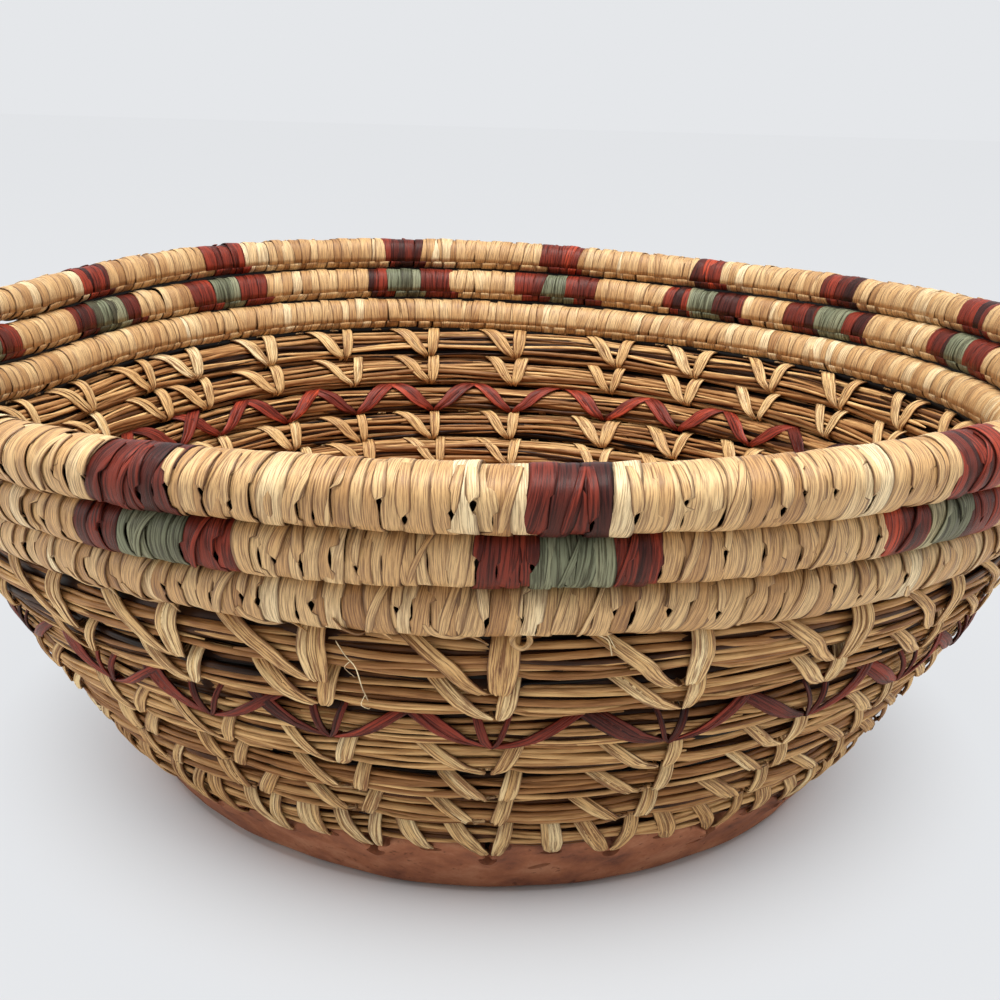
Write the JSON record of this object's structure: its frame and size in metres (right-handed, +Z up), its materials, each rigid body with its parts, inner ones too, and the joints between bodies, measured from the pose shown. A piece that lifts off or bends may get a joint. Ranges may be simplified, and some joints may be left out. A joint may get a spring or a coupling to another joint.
{
  "type": "pine needle basket",
  "caption": "Open bowl basket coiled from pine needles on a pierced clay saucer, stitched in raffia, with a wrapped rim patterned in burgundy and sage.",
  "frame": {"origin": "centre of the saucer's underside, on the surface that the basket stands on", "axes": "+Z up along the bowl's axis, -Y towards the front of the picture, +X to its right"},
  "size_m": [0.2461, 0.2466, 0.0943],
  "materials": {
    "clay": "unglazed burnished fired clay",
    "pine_needle": "dry needles, satin",
    "raffia_natural": "dry raffia strands, satin",
    "raffia_burgundy": "dyed raffia strands, satin",
    "raffia_sage": "dyed raffia strands, satin"
  },
  "bodies": {
    "root": {"saucer_base": "clay", "needle_coil": "pine_needle", "natural_wraps": "raffia_natural", "stitch_row_1": "raffia_natural", "stitch_row_2": "raffia_natural", "stitch_row_3": "raffia_natural", "stitch_row_4": "raffia_natural", "stitch_row_5": "raffia_burgundy", "stitch_row_6": "raffia_natural", "stitch_row_7": "raffia_natural", "motif_burgundy_01": "raffia_burgundy", "motif_burgundy_02": "raffia_burgundy", "motif_burgundy_03": "raffia_burgundy", "motif_burgundy_04": "raffia_burgundy", "motif_burgundy_05": "raffia_burgundy", "motif_burgundy_06": "raffia_burgundy", "motif_burgundy_07": "raffia_burgundy", "motif_burgundy_08": "raffia_burgundy", "motif_burgundy_09": "raffia_burgundy", "motif_burgundy_10": "raffia_burgundy", "motif_burgundy_11": "raffia_burgundy", "motif_burgundy_12": "raffia_burgundy", "motif_burgundy_13": "raffia_burgundy", "motif_burgundy_14": "raffia_burgundy", "motif_burgundy_15": "raffia_burgundy", "motif_sage_01": "raffia_sage", "motif_sage_02": "raffia_sage", "motif_sage_03": "raffia_sage", "motif_sage_04": "raffia_sage", "motif_sage_05": "raffia_sage", "motif_sage_06": "raffia_sage", "motif_sage_07": "raffia_sage", "motif_sage_08": "raffia_sage", "motif_sage_09": "raffia_sage", "motif_sage_10": "raffia_sage", "motif_sage_11": "raffia_sage", "motif_sage_12": "raffia_sage", "motif_sage_13": "raffia_sage", "motif_sage_14": "raffia_sage", "motif_sage_15": "raffia_sage"}
  },
  "joints": []
}
